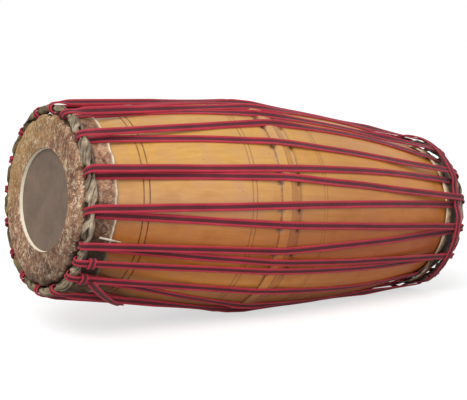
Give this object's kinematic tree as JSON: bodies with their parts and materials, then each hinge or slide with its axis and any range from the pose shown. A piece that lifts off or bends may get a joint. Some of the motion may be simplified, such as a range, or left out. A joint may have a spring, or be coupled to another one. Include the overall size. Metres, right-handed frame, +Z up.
{
  "type": "mridangam",
  "caption": "Double-headed barrel drum of jackwood with laced hide heads, plaited tuning hoops and crimson woven lacing.",
  "frame": {"origin": "centre of the bounding box on the surface that the drum lies on", "axes": "+X along the drum from the larger plain head to the smaller head, +Z up, -Y towards the side that the picture shows"},
  "size_m": [0.6074, 0.2686, 0.2733],
  "materials": {
    "jackwood": "oiled satin",
    "ring_hide": "scraped rawhide",
    "goat_skin": "thin matt skin",
    "plaited_hide": "twisted rawhide strands",
    "patch_paste": "rubbed paste",
    "lace_webbing": "woven tape"
  },
  "bodies": {
    "drum": {"shell": "jackwood", "thoppi_playing_skin": "goat_skin", "thoppi_outer_ring": "ring_hide", "valanthalai_playing_skin": "goat_skin", "valanthalai_outer_ring": "ring_hide", "valanthalai_inner_ring": "ring_hide", "karanai_patch": "patch_paste", "lace_over_run_01": "lace_webbing", "lace_over_run_02": "lace_webbing", "lace_over_run_03": "lace_webbing", "lace_over_run_04": "lace_webbing", "lace_over_run_05": "lace_webbing", "lace_over_run_06": "lace_webbing", "lace_over_run_07": "lace_webbing", "lace_over_run_08": "lace_webbing", "lace_over_run_09": "lace_webbing", "lace_over_run_10": "lace_webbing", "lace_over_run_11": "lace_webbing", "lace_over_run_12": "lace_webbing", "lace_over_run_13": "lace_webbing", "lace_over_run_14": "lace_webbing", "lace_over_run_15": "lace_webbing", "lace_over_run_16": "lace_webbing", "lace_over_run_17": "lace_webbing", "lace_under_run_01": "lace_webbing", "lace_under_run_02": "lace_webbing", "lace_under_run_03": "lace_webbing", "lace_under_run_04": "lace_webbing", "lace_tied_end": "lace_webbing", "lace_under_run_06": "lace_webbing", "lace_under_run_07": "lace_webbing", "lace_under_run_08": "lace_webbing", "lace_under_run_09": "lace_webbing", "lace_under_run_10": "lace_webbing", "lace_under_run_11": "lace_webbing", "lace_under_run_12": "lace_webbing", "lace_under_run_13": "lace_webbing", "lace_under_run_14": "lace_webbing", "lace_under_run_15": "lace_webbing", "lace_under_run_16": "lace_webbing", "lace_under_run_17": "lace_webbing", "valanthalai_rim_strap": "lace_webbing", "lace_hitch_upper": "lace_webbing", "lace_hitch_lower": "lace_webbing", "lace_tail": "lace_webbing"},
    "thoppi_tuning_hoop": {"thoppi_hoop": "plaited_hide"},
    "valanthalai_tuning_hoop": {"valanthalai_hoop": "plaited_hide"}
  },
  "joints": [
    {"name": "thoppi_hoop_tuning", "type": "slide", "parent": "drum", "child": "thoppi_tuning_hoop", "axis": [0.9961, 0, -0.0881], "range_m": [-0.001, 0.001]},
    {"name": "valanthalai_hoop_tuning", "type": "slide", "parent": "drum", "child": "valanthalai_tuning_hoop", "axis": [-0.9961, 0, 0.0881], "range_m": [-0.001, 0.001]}
  ]
}
